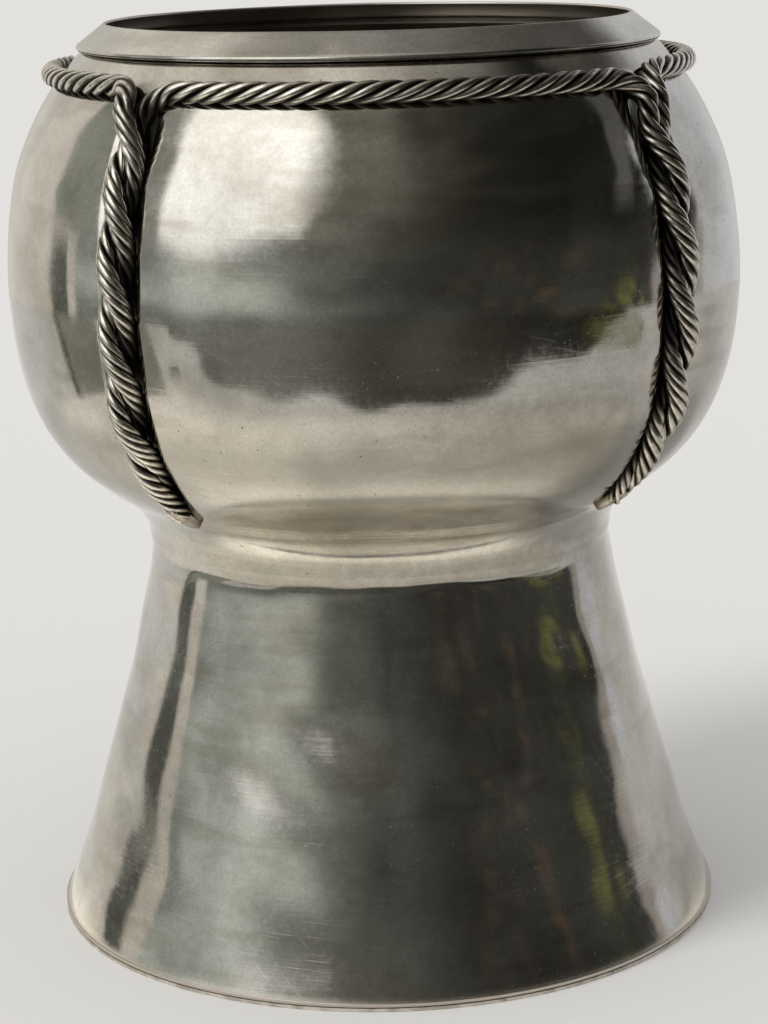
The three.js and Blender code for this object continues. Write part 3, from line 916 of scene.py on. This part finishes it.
def add_window(glow, azimuth, elevation, wander):
    """The bright window, high on the left behind the camera, and the dim fringe to its right."""
    fringe = soft(azimuth, -14, 10, 20) * soft(elevation, 24, 62, 16)
    glow = painted(glow, 0.65 * fringe, WINDOW_FRINGE)
    sill = np.interp(azimuth + wander, [-48, -36, -21, -13, -8], [8, 11.5, 14, 25, 46])
    top = np.interp(azimuth, [-40, -31, -18, -11], [65, 62, 57, 47])
    sides = smoothstep(azimuth, -81, -75) * below(azimuth, -26, -11)
    above_sill = smoothstep(elevation + 0.9 * wander - sill, -2.5, 4)
    window = sides * above_sill * below(elevation + 0.7 * wander - top, -4, 3)
    strength = 1.5 + 0.3 * smoothstep(elevation, 10, 24) + 0.5 * smoothstep(elevation, 26, 50)
    return painted(glow, window, BLACK) + tinted(window * strength, WINDOW)


def add_left_side(glow, azimuth, elevation, wander):
    """A grey upright band on the far left, and a dark strip low down beside it."""
    band = soft(azimuth + 3 * smoothstep(elevation, 8, 30) + 1.5 * wander, -113, -78, 2.5)
    glow = painted(glow, band * soft(elevation, 6, 46, 6), LEFT_BAND)
    strip = soft(azimuth + 1.5 * wander, -113, -102, 2)
    return painted(glow, strip * below(elevation, 1, 7), LEFT_STRIP)


def add_right_side(glow, azimuth, elevation, wander, right_end):
    """Leaves and trunks low down on the right, and a brownish strip where the dim room ends."""
    leaves = smoothstep(field(53, azimuth * 3, np.radians(elevation) * 0.8, 16), 0.0, 0.7)
    leaves = leaves * soft(azimuth, 69, 95, 8) * below(elevation, -2, 3)
    glow = painted(glow, 0.7 * leaves, LEAVES)
    trunks = smoothstep(field(54, azimuth * 2, np.radians(elevation), 14), 0.5, 0.9)
    trunks = trunks * soft(azimuth, 22, 66, 14) * below(elevation, 2, 12)
    glow = painted(glow, 0.8 * trunks, TRUNKS)
    strip = soft(azimuth + 2 * wander - right_end, 1, 6.5, 1.5) * below(elevation, 2, 6)
    return painted(glow, 0.85 * strip, RIGHT_STRIP)


def dome_glow(azimuth, elevation):
    """The light from each direction of the room, azimuth and elevation in degrees."""
    wander = field(51, azimuth, np.radians(elevation), 7)
    sideways = np.sin(np.radians(azimuth)) * np.cos(np.radians(elevation))
    right_end = 103.5 - 4 * below(elevation, -3, 5)
    glow = pale_wall(azimuth, elevation, sideways)
    glow = add_ceiling(glow, azimuth, elevation, sideways, wander)
    glow = add_room(glow, azimuth, elevation, room_share(azimuth, elevation, wander, right_end))
    slanting = azimuth - 0.62 * (elevation - 17)
    right_band = soft(slanting + wander, 81, 97, 4) * soft(elevation, 13, 46, 8)
    glow = painted(glow, 0.9 * right_band, RIGHT_BAND)
    glow = add_window(glow, azimuth, elevation, wander)
    glow = add_left_side(glow, azimuth, elevation, wander)
    glow = add_right_side(glow, azimuth, elevation, wander, right_end)
    return np.clip(glow, 0.012, 3)


def floor_room(across, away, azimuth):
    """Colour of the dim floor behind the camera, and where it begins."""
    wander = field(61, azimuth, 0 * across, 18)
    dim = 1 - 0.42 * soft(azimuth, -75, 8, 24)
    mottle = 1.05 + 0.15 * field(62, azimuth, np.hypot(across, away) * 2, 12)
    glow = room_tone(azimuth) * dim[..., None] * mottle[..., None]
    edge = -0.335 + 0.045 * wander + 0.03 * np.sin(across * 14) + 0.10 * smoothstep(across, 0.4, 0.8)
    edge = edge - 0.05 * smoothstep(-across, 0.15, 0.8)
    return glow, below(away, edge - 0.012, edge + 0.012)


def box_on_floor(across, away):
    """1 inside the outline of a small box that lies askew on the left."""
    from_box, beyond_box = across + 0.421, away + 0.213
    along, over = 0.94 * from_box + 0.34 * beyond_box, 0.94 * beyond_box - 0.34 * from_box
    return soft(along, -0.1, 0.1, 0.012) * soft(over, -0.042, 0.042, 0.012)


def cloth_glow(across, distance):
    """Light of the cloth before the bucket, brightest close to its foot and on the left."""
    close = 0.79 + 0.16 * below(distance, 0.15, 0.25) + 0.62 * below(distance, 0.095, 0.15)
    side = 1 - 0.22 * smoothstep(across, 0, 0.2) + 0.25 * smoothstep(-across, 0.02, 0.12)
    return np.array(CLOTH) * close[..., None] * side[..., None]


def floor_glow(across, away):
    """Colour and cover of what lies on the floor; across and away from the camera, in metres."""
    azimuth = np.degrees(np.arctan2(across, -away))
    distance = np.hypot(across, away)
    glow, room = floor_room(across, away, azimuth)
    box = box_on_floor(across, away)
    glow = painted(glow, box, BOX)
    lit_left = 0.68 * below(np.hypot(across + 0.29, 0.7 * away + 0.02), 0.12, 0.27) * (1 - room)
    glow = painted(glow, 1.2 * lit_left, LIT_FLOOR)
    slanting = away + 0.62 * across
    line = soft(slanting, -0.235, -0.185, 0.012) * soft(across, -1.2, -0.42, 0.05)
    glow = painted(glow, line, FLOOR_LINE)
    beyond = soft(slanting, -0.9, -0.21, 0.015) * soft(across, -1.2, -0.42, 0.03) * (away > -0.14)
    glow = painted(glow, beyond * (1 - line), FLOOR_BEYOND_LINE)
    leaves = smoothstep(field(63, across * 900, away * 60, 5), -0.5, 0.5)
    leaves = soft(np.hypot(across - 0.78, away + 0.16), -1, 0.2, 0.12) * leaves
    glow = painted(glow, leaves, FLOOR_LEAVES)
    cloth = below(away, -0.06, 0.06) * (1 - room) * below(distance, 0.28, 0.40)
    glow = glow + (cloth_glow(across, distance) - glow) * (cloth * (1 - box))[..., None]
    dim_right = 0.2 * smoothstep(across, 0.12, 0.4) * (1 - cloth)
    cover = room + box + line + beyond + leaves + 0.9 * cloth + dim_right + lit_left
    return glow, np.clip(cover, 0, 1)


def painted_card(name, points, faces, glow, cover):
    """A mesh that glows in its vertices' colours and is seen only in reflections; cover makes it opaque."""
    card = new_piece(name, points, faces)
    colours = card.data.attributes.new("glow", "FLOAT_COLOR", "POINT")
    colours.data.foreach_set("color", np.dstack([glow, np.ones(cover.shape)]).astype(np.float32).ravel())
    set_attribute(card, "cover", cover)
    material, tree = new_material(name)
    tree.nodes.remove(tree.nodes["Principled BSDF"])
    shine = add(tree, "Emission", {"Color": add(tree, "Attribute", output="Color", attribute_name="glow")})
    clear = add(tree, "BsdfTransparent")
    seen = add(tree, "MixShader", {"Fac": attribute(tree, "cover"), 1: clear, 2: shine})
    tree.links.new(seen, tree.nodes["Material Output"].inputs["Surface"])
    material.cycles.emission_sampling = "NONE"
    card.data.materials.append(material)
    for ray in ("camera", "diffuse", "shadow", "transmission", "volume_scatter"):
        setattr(card, "visible_" + ray, False)


def make_dome():
    azimuth = np.arange(-180, 180, 0.9)
    elevation = np.concatenate([np.arange(-8, 88, 1.2), [89.9]])
    around, up = np.meshgrid(azimuth, elevation, indexing="ij")
    rise = np.radians(up)
    points = outwards(around + CAMERA_COMPASS) * (CARD_RADIUS * np.cos(rise))[..., None]
    points[..., 2] = CARD_CENTRE + CARD_RADIUS * np.sin(rise)
    rows = len(elevation)
    faces = ring_faces(len(azimuth), rows, close_rows=False)
    faces.append([i * rows + rows - 1 for i in range(len(azimuth))])
    painted_card("room_card", points.reshape(-1, 3), faces, dome_glow(around, up), np.ones(around.shape))


def make_floor_card():
    azimuth = np.arange(-180, 180, 1.0)
    distance = np.linspace(FLOOR_CARD_START, CARD_RADIUS + 0.02, 114)
    around, far = np.meshgrid(azimuth, distance, indexing="ij")
    across, away = far * np.sin(np.radians(around)), -far * np.cos(np.radians(around))
    points = outwards(around + CAMERA_COMPASS) * far[..., None]
    points[..., 2] = FLOOR_CARD_HEIGHT
    glow, cover = floor_glow(across, away)
    faces = ring_faces(len(azimuth), len(distance), close_rows=False)
    painted_card("floor_card", points.reshape(-1, 3), faces, glow, cover)


# ---------------------------------------------------------------- floor and light
def make_floor():
    corners = np.array([(-1, -1, 0), (1, -1, 0), (1, 1, 0), (-1, 1, 0)]) * FLOOR_REACH
    floor = new_piece("floor", corners, [(0, 1, 2, 3)])
    material, tree = new_material("floor")
    shader = tree.nodes["Principled BSDF"]
    shader.inputs["Base Color"].default_value = (0.80, 0.795, 0.785, 1)
    shader.inputs["Roughness"].default_value = 0.9
    shader.inputs["Specular IOR Level"].default_value = 0.0
    floor.data.materials.append(material)


def soft_sun(azimuth, elevation, width, strength):
    """Light from a large far source. It lights the floor; reflections see the painted cards instead."""
    data = bpy.data.lights.new("soft_sun", "SUN")
    data.energy = strength
    data.angle = math.radians(width)
    data.color = (1, 0.985, 0.955)
    light = bpy.data.objects.new("soft_sun", data)
    bpy.context.collection.objects.link(light)
    up = math.radians(elevation)
    towards = Vector(outwards(azimuth + CAMERA_COMPASS)) * math.cos(up) + Vector((0, 0, math.sin(up)))
    light.location = towards
    light.rotation_euler = (-towards).to_track_quat("-Z", "Y").to_euler()
    light.visible_camera = False
    light.visible_glossy = False


def make_lights():
    world = bpy.data.worlds.new("studio")
    world.use_nodes = True
    background = world.node_tree.nodes["Background"]
    background.inputs["Color"].default_value = (1.0, 0.995, 0.985, 1)
    background.inputs["Strength"].default_value = 0.68
    bpy.context.scene.world = world
    soft_sun(azimuth=-62, elevation=42, width=22, strength=1.3)


bpy.context.scene.view_settings.view_transform = "Standard"
make_camera()
make_floor()
make_dome()
make_floor_card()
make_lights()
